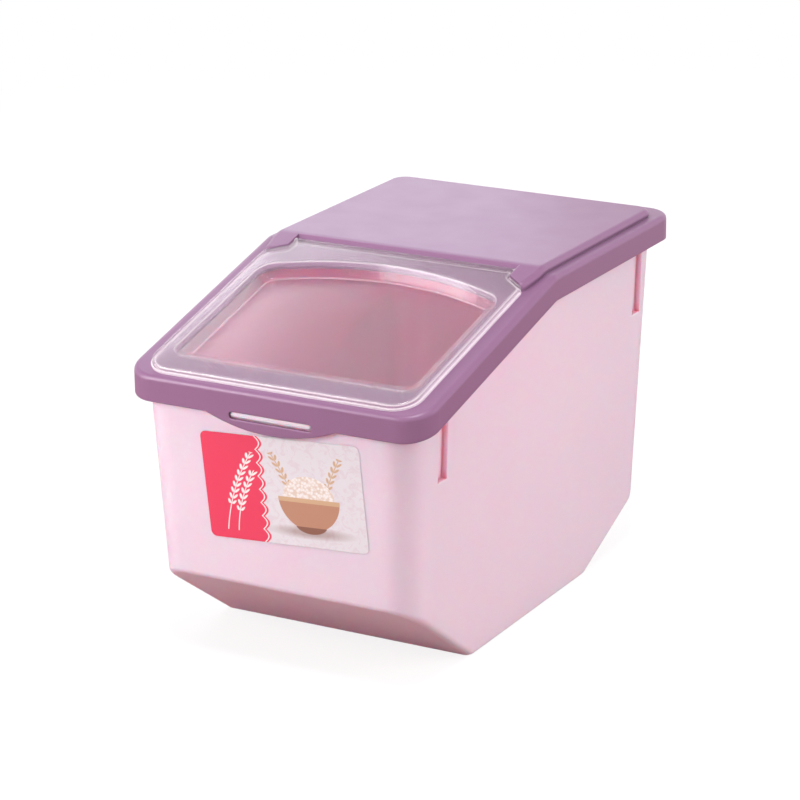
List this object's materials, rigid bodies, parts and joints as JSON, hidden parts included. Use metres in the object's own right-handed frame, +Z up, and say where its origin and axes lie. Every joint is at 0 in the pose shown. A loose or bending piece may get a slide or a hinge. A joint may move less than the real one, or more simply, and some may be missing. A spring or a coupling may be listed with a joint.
{
  "type": "rice storage bin",
  "caption": "Drafted plastic storage bin for rice with a sloping clip-on lid and a clear flip-up scoop window hinged in it.",
  "frame": {"origin": "middle of the footprint, on the surface that the bin stands on", "axes": "+X to the right of someone facing the front, +Y to the back, +Z up; the sloping window faces -Y"},
  "size_m": [0.22, 0.366, 0.2417],
  "materials": {
    "bin_plastic": "pale pink moulded plastic, satin gloss",
    "lid_plastic": "mauve moulded plastic, satin gloss",
    "window_plastic": "clear moulded plastic, slightly frosted",
    "label_print": "printed adhesive label, semi-gloss"
  },
  "bodies": {
    "bin": {"bin": "bin_plastic", "front_label": "label_print"},
    "lid": {"lid": "lid_plastic"},
    "window": {"flip_window": "window_plastic"}
  },
  "joints": [
    {"name": "lid_lift", "type": "slide", "parent": "bin", "child": "lid", "axis": [0, 0, 1], "range_m": [0, 0.17]},
    {"name": "window_hinge", "type": "hinge", "parent": "lid", "child": "window", "pos_m": [0, -0.00933, 0.23732], "axis": [-1, 0, 0], "range_deg": [0, 115]}
  ]
}
